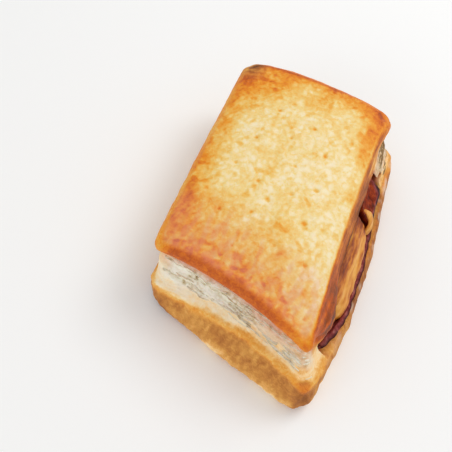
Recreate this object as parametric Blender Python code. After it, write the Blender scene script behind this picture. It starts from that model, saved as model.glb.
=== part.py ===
"""A ham and cheese turnover: puff pastry folded over a ham slice and cheese.

The pastry is one solid with a pocket that opens along its right side. The ham runs through the
pocket and turns up at the mouth, and the cheese lies on the ham and bulges out of the mouth.
X runs from the folded side (left) to the open side (right), Y from front to back, Z up.
Lengths are in millimetres until a vertex is written, and the scene is in metres.
"""

import math

import bmesh
import bpy
from mathutils import Vector, noise

MM = 0.001
CENTRE_SHIFT = Vector((-0.7, -3.15, 0.0))  # puts the middle of the bounding box on the origin

# Plan corners, in the order front left, front right, back right, back left.
RIM_CORNERS = ((-42.5, -37.0), (30.5, -55.5), (29.6, 67.6), (-42.0, 70.0))
BASE_CORNERS = ((-41.0, -45.0), (38.0, -69.0), (37.3, 66.0), (-43.0, 67.0))
# How far the middle of each edge stands out, in the order front, right, back, left.
RIM_BOW = (-3.6, -1.8, 4.0, 0.4)
BASE_BOW = (1.2, 6.8, 1.6, 0.6)
HALF_WIDTH = 38.0
HALF_LENGTH = 62.0
RIM_RADIUS = 5.0
BASE_RADIUS = 7.0
EAR_REACH = 2.0  # the back right corner flares out by this much
EAR_SPAN = 0.34

RIM_HEIGHT = 38.0
DOME_RISE = 4.5
TOP_WAVE = 0.7
LIP_ARCH = 0.8  # the front lip stands higher in the middle
RIDGE_ARCH = 3.4  # and so does the front ridge, which is also set back there
RIDGE_SETBACK = 2.4
RIDGE_WAVE = 1.3
FLARE = 3.2  # the upper crust stands out by this over the front half of the mouth
TAIL_DENT = 2.4  # and draws back by this over the ham's front end

# Side stations from the top crease down to the foot: height, share of the base outline, inset.
END_PROFILE = (
    (38.6, 0.00, 3.4),
    (37.0, 0.00, 1.0),
    (35.0, 0.00, 0.0),
    (33.0, 0.00, 0.3),
    (31.6, 0.03, 2.2),
    (30.4, 0.08, 4.0),
    (26.5, 0.22, 3.8),
    (22.5, 0.42, 3.2),
    (18.6, 0.62, 2.8),
    (16.9, 0.74, 1.8),
    (15.6, 0.78, 0.2),
    (12.6, 0.86, 0.2),
    (7.0, 0.97, 0.0),
    (2.0, 1.00, 1.0),
    (0.0, 1.00, 3.6),
)
MOUTH_PROFILE = (
    (38.6, 0.00, 2.6),
    (37.0, 0.00, 0.7),
    (35.0, 0.03, 0.1),
    (32.4, 0.08, 0.0),
    (29.4, 0.16, 0.0),
    (26.6, 0.24, 0.3),
    (23.0, 0.40, 0.8),
    (19.0, 0.58, 0.8),
    (15.6, 0.74, 0.3),
    (13.2, 0.84, 0.0),
    (10.6, 0.92, 0.0),
    (7.2, 0.99, 0.0),
    (4.0, 1.00, 0.3),
    (1.4, 1.00, 1.8),
    (0.0, 1.00, 4.4),
)
FOLD_PROFILE = (
    (38.6, 0.00, 3.2),
    (36.4, 0.00, 1.0),
    (33.6, 0.05, 0.0),
    (30.4, 0.12, 0.4),
    (27.4, 0.22, 1.4),
    (24.0, 0.40, 1.0),
    (20.5, 0.55, 0.2),
    (17.0, 0.70, 0.0),
    (14.0, 0.80, 0.2),
    (11.0, 0.88, 0.6),
    (8.4, 0.94, 0.3),
    (5.8, 0.98, 0.2),
    (3.4, 1.00, 0.6),
    (1.2, 1.00, 2.0),
    (0.0, 1.00, 4.6),
)
LAYER_BAND = (17.2, 30.5)  # heights between which the leaves of the pastry show
LAYER_PITCH = 4.6
LAYER_DEPTH = 0.75

# Grid of the pastry's outer surface: cuts across, along and up, and how tightly they crowd the rim.
PASTRY_CUTS = (24, 34, 18)
RIM_CROWDING = 1.35

# Pocket, cheese and ham.
POCKET_LEFT = -30.0
POCKET_BACK = 48.9
POCKET_FRONT = -45.1  # at the mouth
POCKET_SKEW = 0.27  # the pocket's front end slants with the pastry's front edge
CLEARANCE = 0.35
HAM_THICKNESS = 2.4
HAM_HEIGHT = 14.05  # mid-surface of the flat stretch
HAM_EDGE = 36.4  # where the flat stretch ends and the slice turns up
HAM_TURN_RADIUS = 2.6
HAM_TURN = math.radians(118)  # the turned-up strip leans back over the cheese
HAM_FLAT_SHARE = 0.55  # share of the grid's columns that lies on the flat stretch
LIP_RISE = 5.0  # behind the ham the lower lip climbs by this, and the upper one comes down
LIP_DROP = 8.0
CHEESE_TOP = 26.4
CHEESE_LOW = 18.2  # where it thins out, at the front end of the pocket
CHEESE_LEAN = 4.2  # how far the top of the cheese's face lies behind its foot
CHEESE_BULGE = 1.3
POCKET_CUTS = (14, 26, 2)
CHEESE_CUTS = (14, 24, 5)
HAM_CUTS = (18, 34)

MATERIALS = {
    "pastry_crust": ((0.80, 0.47, 0.16), 0.55),
    "baked_ham": ((0.46, 0.09, 0.05), 0.35),
    "browned_cheese": ((0.72, 0.40, 0.13), 0.45),
}


def clear_scene():
    for item in list(bpy.data.objects):
        bpy.data.objects.remove(item, do_unlink=True)


def mix(a, b, share):
    return a + (b - a) * share


def clamp(value, low=0.0, high=1.0):
    return max(low, min(high, value))


def smoothstep(low, high, value):
    t = clamp((value - low) / (high - low))
    return t * t * (3.0 - 2.0 * t)


def wave(x, y, z, size):
    """Smooth noise from -1 to 1 with bumps of about that size in millimetres."""
    return noise.noise(Vector((x / size + 11.3, y / size + 4.7, z / size + 7.9)))


def round_corner(p, q, share_p, share_q):
    """Turns each corner of the square from -1 to 1 into a quarter circle."""
    u = (abs(p) - (1.0 - share_p)) / share_p
    v = (abs(q) - (1.0 - share_q)) / share_q
    if u <= 0.0 or v <= 0.0:
        return p, q
    along = u * math.sqrt(1.0 - v * v / 2.0)
    across = v * math.sqrt(1.0 - u * u / 2.0)
    return (
        math.copysign(1.0 - share_p + share_p * along, p),
        math.copysign(1.0 - share_q + share_q * across, q),
    )


def outline_point(p, q, corners, bow):
    """Point of a four-cornered plan outline, whose edges are bowed."""
    a, b = (p + 1.0) / 2.0, (q + 1.0) / 2.0
    weights = ((1 - a) * (1 - b), a * (1 - b), a * b, (1 - a) * b)
    x = sum(w * corner[0] for w, corner in zip(weights, corners))
    y = sum(w * corner[1] for w, corner in zip(weights, corners))
    front, right, back, left = bow
    x += (1 - q * q) * (a * right - (1 - a) * left)
    y += (1 - p * p) * (b * back - (1 - b) * front)
    return x, y


def plan_point(p, q, base_share, inset):
    """Point of the plan between the rim's outline and the base's, drawn in by inset."""
    radius = mix(RIM_RADIUS, BASE_RADIUS, base_share)
    p, q = round_corner(p, q, radius / HALF_WIDTH, radius / HALF_LENGTH)
    p *= 1.0 - inset / HALF_WIDTH
    q *= 1.0 - inset / HALF_LENGTH
    rim_x, rim_y = outline_point(p, q, RIM_CORNERS, RIM_BOW)
    base_x, base_y = outline_point(p, q, BASE_CORNERS, BASE_BOW)
    x, y = mix(rim_x, base_x, base_share), mix(rim_y, base_y, base_share)
    ear = smoothstep(1.0 - EAR_SPAN, 1.0, q) * smoothstep(0.6, 1.0, p)
    return x + EAR_REACH * ear, y


def station(profile, depth):
    """Height, base share and inset at a depth from 0 at the crease to 1 at the foot."""
    place = clamp(depth) * (len(profile) - 1)
    index = min(int(place), len(profile) - 2)
    share = place - index
    return tuple(mix(a, b, share) for a, b in zip(profile[index], profile[index + 1]))


def side_station(p, q, depth):
    """Station of the side that this point of the perimeter lies on, blended at the corners."""
    sideways = clamp(0.5 + 2.2 * (abs(p) - abs(q) - 0.15))
    ends = station(END_PROFILE, depth)
    sides = station(MOUTH_PROFILE if p > 0 else FOLD_PROFILE, depth)
    return tuple(mix(a, b, sideways) for a, b in zip(ends, sides))


def layer_relief(x, y, z, p, q):
    """How far the leaves of the pastry stand out or in at a point of the side."""
    low, high = LAYER_BAND
    band = smoothstep(low - 1.5, low + 1.0, z) * (1.0 - smoothstep(high - 2.0, high + 0.5, z))
    at_ends = clamp(2.5 * (abs(q) - abs(p) + 0.2))
    phase = (z + 1.6 * wave(x, y, 0.0, 22.0)) / LAYER_PITCH
    leaf = abs(2.0 * (phase % 1.0) - 1.0) * 2.0 - 1.0
    return band * at_ends * (LAYER_DEPTH * leaf + 0.9 * wave(x, y, z, 9.0))


def flare(p, q, z):
    """How far the upper crust stands out over the front half of the mouth."""
    if p <= 0.0:
        return 0.0
    along = smoothstep(0.25, 0.56, -q) * (1.0 - smoothstep(0.72, 0.95, -q))
    sideways = clamp(0.5 + 2.2 * (abs(p) - abs(q) - 0.15))
    out = FLARE * along * smoothstep(36.0, 29.0, z) * smoothstep(17.0, 24.0, z)
    tail = smoothstep(0.50, 0.66, -q) * (1.0 - smoothstep(0.76, 0.88, -q))
    out -= TAIL_DENT * tail * smoothstep(14.5, 17.5, z) * smoothstep(27.0, 20.0, z)
    return out * sideways


def top_height(p, q, x, y):
    dome = (1.0 - abs(p) ** 3.0) * (1.0 - abs(q) ** 3.0)
    corner_droop = 2.2 * (abs(p * q)) ** 6
    return RIM_HEIGHT + 0.6 + DOME_RISE * dome - corner_droop + TOP_WAVE * dome * wave(x, y, 0, 20)


def crowd(value):
    """Moves the cuts of an even grid from -1 to 1 towards its rim."""
    return math.copysign(1.0 - (1.0 - abs(value)) ** RIM_CROWDING, value)


def pastry_point(u, v, w):
    """Point of the pastry's outer surface for a point of the cube from -1 to 1."""
    p, q = crowd(u), crowd(v)
    if abs(w) > 1.0 - 1e-6:
        level, base_share, inset = side_station(p, q, 0.0 if w > 0 else 1.0)
        x, y = plan_point(p, q, base_share, inset)
        z = top_height(p, q, x, y) if w > 0 else 0.0
    else:
        z, base_share, inset = side_station(p, q, (1.0 - w) / 2.0)
        x, y = plan_point(p, q, base_share, inset)
        out = layer_relief(x, y, z, p, q) + flare(p, q, z)
        front_middle = (1.0 - p * p) * smoothstep(0.6, 1.0, -q)
        lower = smoothstep(4.0, 14.0, z) * (1.0 - smoothstep(17.0, 26.0, z))
        out -= RIDGE_SETBACK * lower * front_middle
        x, y = plan_point(p, q, base_share, inset - out)
        upper = smoothstep(24.0, 36.0, z)
        z += upper * (0.8 * wave(x, y, 3.0, 24.0) - 2.2 * abs(p * q) ** 6)
        z += upper * LIP_ARCH * front_middle
        z += lower * (RIDGE_ARCH * front_middle + RIDGE_WAVE * wave(x, y, 30.0, 14.0))
    return x, y, z


def ham_level(x, y):
    """Height of the ham's mid-surface over the plan."""
    return HAM_HEIGHT + 0.5 * wave(x, y, 5.0, 26.0)


def cheese_level(x, y):
    """Height of the cheese's upper surface, which slopes down at the front end of the pocket."""
    full = smoothstep(POCKET_FRONT + 5.0, POCKET_FRONT + 24.0, y)
    return mix(CHEESE_LOW, CHEESE_TOP, full) + 0.5 * wave(x, y, 9.0, 18.0)


def pocket_row(x, share, front_margin=0.0, back_margin=0.0):
    """Y of a row of the pocket's grid, whose front end slants."""
    front = POCKET_FRONT + POCKET_SKEW * (HAM_EDGE - min(x, HAM_EDGE)) + front_margin
    return mix(front, POCKET_BACK - back_margin, share)


def ham_row(x, share):
    """Y of a row of the ham's grid: its back right corner is cut off."""
    front_margin = mix(2.0, 0.6, smoothstep(22.0, 33.0, x))
    back_margin = mix(1.5, 9.5, smoothstep(22.0, 33.0, x))
    return pocket_row(x, share, front_margin, back_margin)


def ham_edge(y):
    """Where the ham turns up: furthest out in the middle of the mouth."""
    draw_back = 6.0 * smoothstep(-24.0, -47.0, y) + 3.2 * smoothstep(-2.0, 30.0, y)
    draw_back += 0.8 * smoothstep(30.0, 46.0, y)
    return HAM_EDGE + 1.0 - draw_back + 0.4 * wave(3.0, y, 0.0, 12.0)


def ham_strip(y):
    """Length of the strip that turns up at the mouth: tall at the back, low in the middle."""
    back = smoothstep(16.0, 22.0, y)
    length = 4.0 + 10.0 * back + 0.3 * wave(0.0, y, 0.0, 7.0)
    headroom = cheese_level(HAM_EDGE, y) - ham_level(HAM_EDGE, y)
    straight = headroom - HAM_THICKNESS / 2.0 - HAM_TURN_RADIUS * (1.0 - math.cos(HAM_TURN))
    return min(length, HAM_TURN_RADIUS * HAM_TURN + max(0.0, straight) / math.sin(HAM_TURN))


def ham_point(u, v):
    """Point of the ham's mid-surface: flat from the left, then turning up at the mouth."""
    edge = ham_edge(ham_row(HAM_EDGE, (v + 1.0) / 2.0))
    y = ham_row(edge, (v + 1.0) / 2.0)
    share = (u + 1.0) / 2.0
    if share <= HAM_FLAT_SHARE:
        x = mix(POCKET_LEFT + 1.5, edge, share / HAM_FLAT_SHARE)
        y = ham_row(x, (v + 1.0) / 2.0)
        return x, y, ham_level(x, y)
    run = (share - HAM_FLAT_SHARE) / (1.0 - HAM_FLAT_SHARE) * ham_strip(y)
    turn = min(run / HAM_TURN_RADIUS, HAM_TURN)
    beyond = run - turn * HAM_TURN_RADIUS
    x = edge + HAM_TURN_RADIUS * math.sin(turn) + beyond * math.cos(turn)
    rise = HAM_TURN_RADIUS * (1.0 - math.cos(turn)) + beyond * math.sin(turn)
    return x, y, ham_level(edge, y) + rise


def pocket_point(u, v, w):
    """Point of the pocket's cutter, which runs out through the mouth."""
    x = mix(POCKET_LEFT, 60.0, (u + 1.0) / 2.0)
    y = pocket_row(x, (v + 1.0) / 2.0)
    inner = min(x, HAM_EDGE)
    low = ham_level(inner, y) - HAM_THICKNESS / 2.0 - CLEARANCE
    high = cheese_level(inner, y) + CLEARANCE + 0.6 * smoothstep(20.0, 32.0, x)
    closing = smoothstep(28.0, 34.0, x) * smoothstep(POCKET_BACK - 8.0, POCKET_BACK, y)
    low, high = low + LIP_RISE * closing, high - LIP_DROP * closing
    return x, y, mix(low, high, (w + 1.0) / 2.0)


def cheese_point(u, v, w):
    """Point of the cheese, a slab whose face bulges and leans back at the mouth."""
    y = pocket_row(HAM_EDGE, (v + 1.0) / 2.0, 7.0, 3.0)
    bared = smoothstep(-44.0, -28.0, y) * (1.0 - smoothstep(8.0, 18.0, y))
    height = (w + 1.0) / 2.0
    left = POCKET_LEFT + 1.5
    right = mix(27.0, ham_edge(y) - 0.4, bared) - CHEESE_LEAN * height
    right += CHEESE_BULGE * bared * (1.0 - w * w)
    x = mix(left, right, (u + 1.0) / 2.0)
    y = pocket_row(x, (v + 1.0) / 2.0, 7.0, 3.0)
    low = ham_level(min(x, HAM_EDGE), y) + HAM_THICKNESS / 2.0 + CLEARANCE
    high = cheese_level(min(x, HAM_EDGE), y)
    return x, y, mix(low, high, height)


def write_mesh(name, bm, smooth_angle=40.0):
    mesh = bpy.data.meshes.new(name)
    bm.to_mesh(mesh)
    bm.free()
    mesh.shade_smooth()
    mesh.set_sharp_from_angle(angle=math.radians(smooth_angle))
    item = bpy.data.objects.new(name, mesh)
    bpy.context.scene.collection.objects.link(item)
    return item


def mapped_cube(name, cuts, place):
    """A cube cut into a grid along each axis, with every vertex placed by a function."""
    bm = bmesh.new()
    bmesh.ops.create_cube(bm, size=2.0)
    for axis, count in enumerate(cuts):
        for cut in range(1, count):
            at = Vector((0.0, 0.0, 0.0))
            at[axis] = -1.0 + 2.0 * cut / count
            normal = Vector((0.0, 0.0, 0.0))
            normal[axis] = 1.0
            parts = bm.verts[:] + bm.edges[:] + bm.faces[:]
            bmesh.ops.bisect_plane(bm, geom=parts, plane_co=at, plane_no=normal, dist=1e-6)
    for vertex in bm.verts:
        vertex.co = (Vector(place(*vertex.co)) + CENTRE_SHIFT) * MM
    bmesh.ops.recalc_face_normals(bm, faces=bm.faces[:])
    return write_mesh(name, bm)


def thick_sheet(name, cuts, place, thickness):
    """A grid whose vertices are placed by a function, thickened equally to both sides."""
    bm = bmesh.new()
    bmesh.ops.create_grid(bm, x_segments=cuts[0], y_segments=cuts[1], size=1.0)
    for vertex in bm.verts:
        vertex.co = (Vector(place(vertex.co.x, vertex.co.y)) + CENTRE_SHIFT) * MM
    item = write_mesh(name, bm)
    skin = item.modifiers.new("Thickness", "SOLIDIFY")
    skin.thickness = thickness * MM
    skin.offset = 0.0
    skin.use_even_offset = True
    return item


def cut_away(item, cutter):
    cutter.hide_render = True
    cutter.display_type = "WIRE"
    hole = item.modifiers.new("Cut " + cutter.name, "BOOLEAN")
    hole.operation = "DIFFERENCE"
    hole.solver = "EXACT"
    hole.object = cutter


def give_material(item, name):
    colour, roughness = MATERIALS[name]
    material = bpy.data.materials.new(name)
    material.use_nodes = True
    shader = material.node_tree.nodes["Principled BSDF"]
    shader.inputs["Base Color"].default_value = (*colour, 1.0)
    shader.inputs["Roughness"].default_value = roughness
    item.data.materials.append(material)


def build_turnover():
    clear_scene()
    pocket = mapped_cube("pocket_cutter", POCKET_CUTS, pocket_point)
    pastry = mapped_cube("pastry", PASTRY_CUTS, pastry_point)
    cut_away(pastry, pocket)
    give_material(pastry, "pastry_crust")

    ham = thick_sheet("ham", HAM_CUTS, ham_point, HAM_THICKNESS)
    give_material(ham, "baked_ham")

    cheese = mapped_cube("cheese", CHEESE_CUTS, cheese_point)
    give_material(cheese, "browned_cheese")


build_turnover()
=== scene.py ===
import math
import random

import bmesh
import bpy
from mathutils import Matrix, Vector, kdtree, noise


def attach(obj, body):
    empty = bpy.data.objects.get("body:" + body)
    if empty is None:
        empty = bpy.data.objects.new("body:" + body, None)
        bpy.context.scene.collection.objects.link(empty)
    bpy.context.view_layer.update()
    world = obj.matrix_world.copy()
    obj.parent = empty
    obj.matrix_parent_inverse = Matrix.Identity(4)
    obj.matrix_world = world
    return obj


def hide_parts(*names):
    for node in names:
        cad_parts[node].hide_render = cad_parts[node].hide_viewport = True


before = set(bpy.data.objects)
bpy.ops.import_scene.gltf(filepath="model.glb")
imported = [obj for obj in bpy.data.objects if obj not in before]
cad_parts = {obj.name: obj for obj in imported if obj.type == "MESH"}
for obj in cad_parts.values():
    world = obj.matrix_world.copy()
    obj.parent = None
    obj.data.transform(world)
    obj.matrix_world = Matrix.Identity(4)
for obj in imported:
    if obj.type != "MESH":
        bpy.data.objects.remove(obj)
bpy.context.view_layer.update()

# ---------------------------------------------------------------------------------------------
# The pastry case. The real one is a sheet of laminated puff pastry folded over its filling,
# docked, washed with egg and baked. The washed top browns at its rim, the cut ends puff into
# pale leaves, and the open long side keeps a mouth where the filling shows.

MM = 0.001  # lengths are in millimetres until a vertex is placed
TURNOVER_SHIFT = Vector((-0.7, -3.15, 0.0))  # puts the underside's middle on the origin

# Corners from the front left one round to the back left one, and how far the front, right,
# back and left sides bow out.
RIM_CORNERS = ((-42.5, -37.0), (30.5, -55.5), (29.6, 67.6), (-42.0, 70.0))
BASE_CORNERS = ((-41.0, -45.0), (38.0, -69.0), (37.3, 66.0), (-43.0, 67.0))
RIM_BOW = (-3.6, -1.8, 4.0, 0.4)
BASE_BOW = (1.2, 6.8, 1.6, 0.6)
HALF_WIDTH = 38.0
HALF_LENGTH = 62.0
RIM_RADIUS = 5.0
BASE_RADIUS = 7.0
EAR_REACH = 2.0
EAR_SPAN = 0.34
RIM_HEIGHT = 38.0
CREASE_LIFT = 0.6
DOME_RISE = 4.5
TOP_WAVE = 0.7
RIM_WAVE = 0.8
CORNER_DROOP = 2.2
LIP_ARCH = 1.7
RIDGE_ARCH = 3.4
RIDGE_SETBACK = 2.4
RIDGE_WAVE = 1.3
FLARE = 3.2
TAIL_DENT = 3.0
# Along the right part of the front the lower crust stands higher by the first of these and
# further in by the second, and fills the step below the leaves by the third.
RISE_LIFT = 1.8
RISE_SETBACK = 1.0
RISE_STEP = 1.0
RISE_LAYERS = 4.6  # the bared leaves start this much higher there
RISE_EDGE = 2.2  # and the gold edge of the crust lies this much higher

# Side stations from the top crease to the foot: height, share of the base outline, inset.
END_PROFILE = (
    (38.6, 0.00, 3.4),
    (37.0, 0.00, 1.0),
    (35.0, 0.00, 0.0),
    (33.0, 0.00, 0.3),
    (31.6, 0.03, 2.2),
    (30.4, 0.08, 4.0),
    (26.5, 0.22, 3.8),
    (22.5, 0.42, 3.2),
    (18.6, 0.62, 2.8),
    (16.9, 0.74, 1.8),
    (15.6, 0.78, 0.2),
    (12.6, 0.86, 0.2),
    (7.0, 0.97, 0.0),
    (2.0, 1.00, 1.0),
    (0.0, 1.00, 3.6),
)
MOUTH_PROFILE = (
    (38.6, 0.00, 2.6),
    (37.0, 0.00, 0.7),
    (35.0, 0.03, 0.1),
    (32.4, 0.08, 0.0),
    (29.4, 0.16, 0.0),
    (26.6, 0.24, 0.3),
    (23.0, 0.40, 0.8),
    (19.0, 0.58, 0.8),
    (15.6, 0.74, 0.3),
    (13.2, 0.84, 0.0),
    (10.6, 0.92, 0.0),
    (7.2, 0.99, 0.0),
    (4.0, 1.00, 0.3),
    (1.4, 1.00, 1.8),
    (0.0, 1.00, 4.4),
)
FOLD_PROFILE = (
    (38.6, 0.00, 3.2),
    (36.4, 0.00, 1.0),
    (33.6, 0.05, 0.0),
    (30.4, 0.12, 0.4),
    (27.4, 0.22, 1.4),
    (24.0, 0.40, 1.0),
    (20.5, 0.55, 0.2),
    (17.0, 0.70, 0.0),
    (14.0, 0.80, 0.2),
    (11.0, 0.88, 0.6),
    (8.4, 0.94, 0.3),
    (5.8, 0.98, 0.2),
    (3.4, 1.00, 0.6),
    (1.2, 1.00, 2.0),
    (0.0, 1.00, 4.6),
)
# Rows of faces between one station and the next, closest where the leaves show.
ROWS_BETWEEN_STATIONS = (4, 4, 4, 4, 5, 10, 10, 10, 6, 5, 6, 8, 6, 4)
CASE_SEGMENTS = (140, 210, sum(ROWS_BETWEEN_STATIONS))
LAYER_BAND = (18.4, 30.5)
LAYER_PITCH = 4.6
LAYER_DEPTH = 0.75
LEAF_PITCH = 1.15  # a baked leaf is a few tenths thick; here every third shows
CRUST_EDGE = 15.2  # height of the lower crust's gold edge
SIDE_TO_RIM = (36.8, 38.4)  # heights between which the mouth's crust takes the rim's tone
RIM_TO_TOP = (37.4, 38.8)  # and the rim takes the top's

POCKET_LEFT = -30.0
POCKET_RIGHT = 60.0  # outside the case, so that the pocket is open
POCKET_BACK = 48.9
POCKET_FRONT = -45.1
POCKET_SKEW = 0.27
CLEARANCE = 0.35
HAM_THICKNESS = 2.4
HAM_HEIGHT = 14.05
HAM_EDGE = 36.4
CHEESE_TOP = 26.4
CHEESE_LOW = 18.2
LIPS_MEET = (POCKET_BACK - 9.5, POCKET_BACK - 4.0)
LIP_RISE = 5.0
LIP_DROP = 8.0
POCKET_SEGMENTS = (30, 150, 4)
LIP_ROLL = 0.5  # the crust turns in over this much at the mouth

# Docking marks, where a roller's pins went through the sheet: x, y and size of each.
MARKS = (
    (8.8, 28.0, 1.0),
    (0.3, 39.8, 0.9),
    (-7.6, 30.8, 0.8),
    (10.4, 10.2, 1.1),
    (-6.6, -2.6, 1.0),
    (1.6, 3.8, 0.9),
    (10.8, -6.8, 1.1),
    (-13.2, 4.4, 0.9),
    (-10.6, -10.6, 0.8),
    (17.5, 41.0, 0.8),
    (-17.0, 43.5, 0.9),
    (-21.5, 25.0, 1.0),
    (-25.0, 9.5, 0.8),
    (-1.5, 17.5, 0.7),
    (-23.0, -14.0, 0.9),
    (3.0, -21.0, 0.8),
    (17.0, -24.0, 0.9),
    (-12.5, -27.0, 0.7),
)
DOCK_RADIUS = 1.15
DOCK_DEPTH = 0.7
DOCK_LIMIT = 4.0  # beyond this a mark has no effect


def mix(a, b, share):
    return a + (b - a) * share


def clamp(value, low=0.0, high=1.0):
    return max(low, min(high, value))


def smoothstep(low, high, value):
    t = clamp((value - low) / (high - low))
    return t * t * (3.0 - 2.0 * t)


def bell(distance, width):
    """1 at no distance, and close to 0 beyond twice the width."""
    return math.exp(-((distance / width) ** 2))


def wave(x, y, z, size):
    """Smooth noise from -1 to 1 with bumps of about that size; a far z gives other noise."""
    return noise.noise(Vector((x / size + 11.3, y / size + 4.7, z / size + 7.9)))


def round_corner(p, q, share_p, share_q):
    u = (abs(p) - (1.0 - share_p)) / share_p
    v = (abs(q) - (1.0 - share_q)) / share_q
    if u <= 0.0 or v <= 0.0:
        return p, q
    along = u * math.sqrt(1.0 - v * v / 2.0)
    across = v * math.sqrt(1.0 - u * u / 2.0)
    return (
        math.copysign(1.0 - share_p + share_p * along, p),
        math.copysign(1.0 - share_q + share_q * across, q),
    )


def outline_point(p, q, corners, bow):
    a, b = (p + 1.0) / 2.0, (q + 1.0) / 2.0
    weights = ((1 - a) * (1 - b), a * (1 - b), a * b, (1 - a) * b)
    x = sum(w * corner[0] for w, corner in zip(weights, corners))
    y = sum(w * corner[1] for w, corner in zip(weights, corners))
    front, right, back, left = bow
    x += (1 - q * q) * (a * right - (1 - a) * left)
    y += (1 - p * p) * (b * back - (1 - b) * front)
    return x, y


def plan_point(p, q, base_share, inset):
    radius = mix(RIM_RADIUS, BASE_RADIUS, base_share)
    p, q = round_corner(p, q, radius / HALF_WIDTH, radius / HALF_LENGTH)
    p *= 1.0 - inset / HALF_WIDTH
    q *= 1.0 - inset / HALF_LENGTH
    rim_x, rim_y = outline_point(p, q, RIM_CORNERS, RIM_BOW)
    base_x, base_y = outline_point(p, q, BASE_CORNERS, BASE_BOW)
    x, y = mix(rim_x, base_x, base_share), mix(rim_y, base_y, base_share)
    ear = smoothstep(1.0 - EAR_SPAN, 1.0, q) * smoothstep(0.6, 1.0, p)
    return x + EAR_REACH * ear, y


def station(profile, depth):
    """A smooth curve through the stations, from depth 0 at the crease to 1 at the foot."""
    place = clamp(depth) * (len(profile) - 1)
    i = min(int(place), len(profile) - 2)
    t = place - i
    before, after = profile[max(i - 1, 0)], profile[min(i + 2, len(profile) - 1)]
    return tuple(
        b + 0.5 * t * (c - a + t * (2 * a - 5 * b + 4 * c - d + t * (3 * b - a - 3 * c + d)))
        for a, b, c, d in zip(before, profile[i], profile[i + 1], after)
    )


def sideways_share(p, q):
    """From 0 on the two ends to 1 on the long sides."""
    return clamp(0.5 + 2.2 * (abs(p) - abs(q) - 0.15))


def front_share(q):
    """From 0 along the sides to 1 at the front end."""
    return smoothstep(0.6, 1.0, -q)


def side_station(p, q, depth):
    ends = station(END_PROFILE, depth)
    sides = station(MOUTH_PROFILE if p > 0 else FOLD_PROFILE, depth)
    return tuple(mix(a, b, sideways_share(p, q)) for a, b in zip(ends, sides))


def front_rise(p, q):
    """From 0 to 1 where the lower crust stands higher, along the right part of the front."""
    along = smoothstep(-0.55, 0.35, p) * (1.0 - 0.5 * smoothstep(0.8, 1.0, p))
    return along * front_share(q) * (1.0 - sideways_share(p, q))


def ham_level(x, y):
    return HAM_HEIGHT + 0.5 * wave(x, y, 5.0, 26.0)


def cheese_level(x, y):
    full = smoothstep(POCKET_FRONT + 5.0, POCKET_FRONT + 24.0, y)
    return mix(CHEESE_LOW, CHEESE_TOP, full) + 0.5 * wave(x, y, 9.0, 18.0)


def lip_closing(x, y):
    """From 0 to 1 where the mouth's lips come together behind the ham."""
    return smoothstep(28.0, 34.0, x) * smoothstep(*LIPS_MEET, y)


def flare(p, q, z):
    """How far the upper crust stands out over the front half of the mouth."""
    if p <= 0.0:
        return 0.0
    along = smoothstep(0.25, 0.56, -q) * (1.0 - smoothstep(0.72, 0.95, -q))
    out = FLARE * along * smoothstep(36.0, 29.0, z) * smoothstep(17.0, 24.0, z)
    tail = smoothstep(0.50, 0.66, -q) * (1.0 - smoothstep(0.76, 0.88, -q))
    out -= TAIL_DENT * tail * smoothstep(14.5, 17.5, z) * smoothstep(27.0, 20.0, z)
    return out * sideways_share(p, q)


def pocket_floor(x, y):
    low = ham_level(min(x, HAM_EDGE), y) - HAM_THICKNESS / 2.0 - CLEARANCE
    return low + LIP_RISE * lip_closing(x, y)


def pocket_roof(x, y):
    high = cheese_level(min(x, HAM_EDGE), y) + CLEARANCE + 0.6 * smoothstep(20.0, 32.0, x)
    return high - LIP_DROP * lip_closing(x, y)


def pocket_row(x, share, front_margin=0.0, back_margin=0.0):
    front = POCKET_FRONT + POCKET_SKEW * (HAM_EDGE - min(x, HAM_EDGE)) + front_margin
    return mix(front, POCKET_BACK - back_margin, share)


def layered(p, q, z):
    """From 0 on crust to 1 where the cut leaves of the pastry show."""
    x, y = p * HALF_WIDTH, q * HALF_LENGTH
    low, high = LAYER_BAND
    low += RISE_LAYERS * front_rise(p, q)
    ragged = z + 1.5 * wave(x, y, z, 4.0) + 0.8 * wave(x, y, z, 1.8)
    band = smoothstep(low - 1.4, low + 1.6, ragged) * (1.0 - smoothstep(high - 3.5, high + 0.5, z))
    # Crust partly covers them on the right of the front and at the back right corner.
    band *= 1.0 - 0.45 * smoothstep(0.0, 0.5, p) * front_share(q)
    band *= 1.0 - 0.3 * smoothstep(0.7, 0.95, p) * smoothstep(0.45, 0.65, q)
    ends = clamp(2.5 * (abs(q) - abs(p) + 0.2))
    corners = smoothstep(0.56, 0.66, q) + smoothstep(0.84, 0.92, -q) if p > 0 else 0.0
    bared = band * clamp(ends + corners)
    if p > 0.8:
        # A few leaves also part on the mouth's lower crust.
        split = smoothstep(0.0, 0.5, wave(x, y, 80.0 + z, 5.0)) * smoothstep(9.0, 11.5, z)
        split *= smoothstep(16.0, 14.0, z) * 0.45 * smoothstep(-0.85, 0.0, q)
        bared = max(bared, split)
    return bared


def lip_roll(x, y, z, p):
    """How far the side turns in where the mouth's lips are."""
    if p < 0.5:
        return 0.0
    within = smoothstep(POCKET_FRONT - 2.0, POCKET_FRONT + 3.0, y)
    within *= 1.0 - smoothstep(POCKET_BACK - 3.0, POCKET_BACK + 2.0, y)
    above = max(0.0, z - pocket_roof(x, y)) / 1.5
    below = max(0.0, pocket_floor(x, y) - z) / 1.0
    return LIP_ROLL * within * math.exp(-above * above - below * below)


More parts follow.
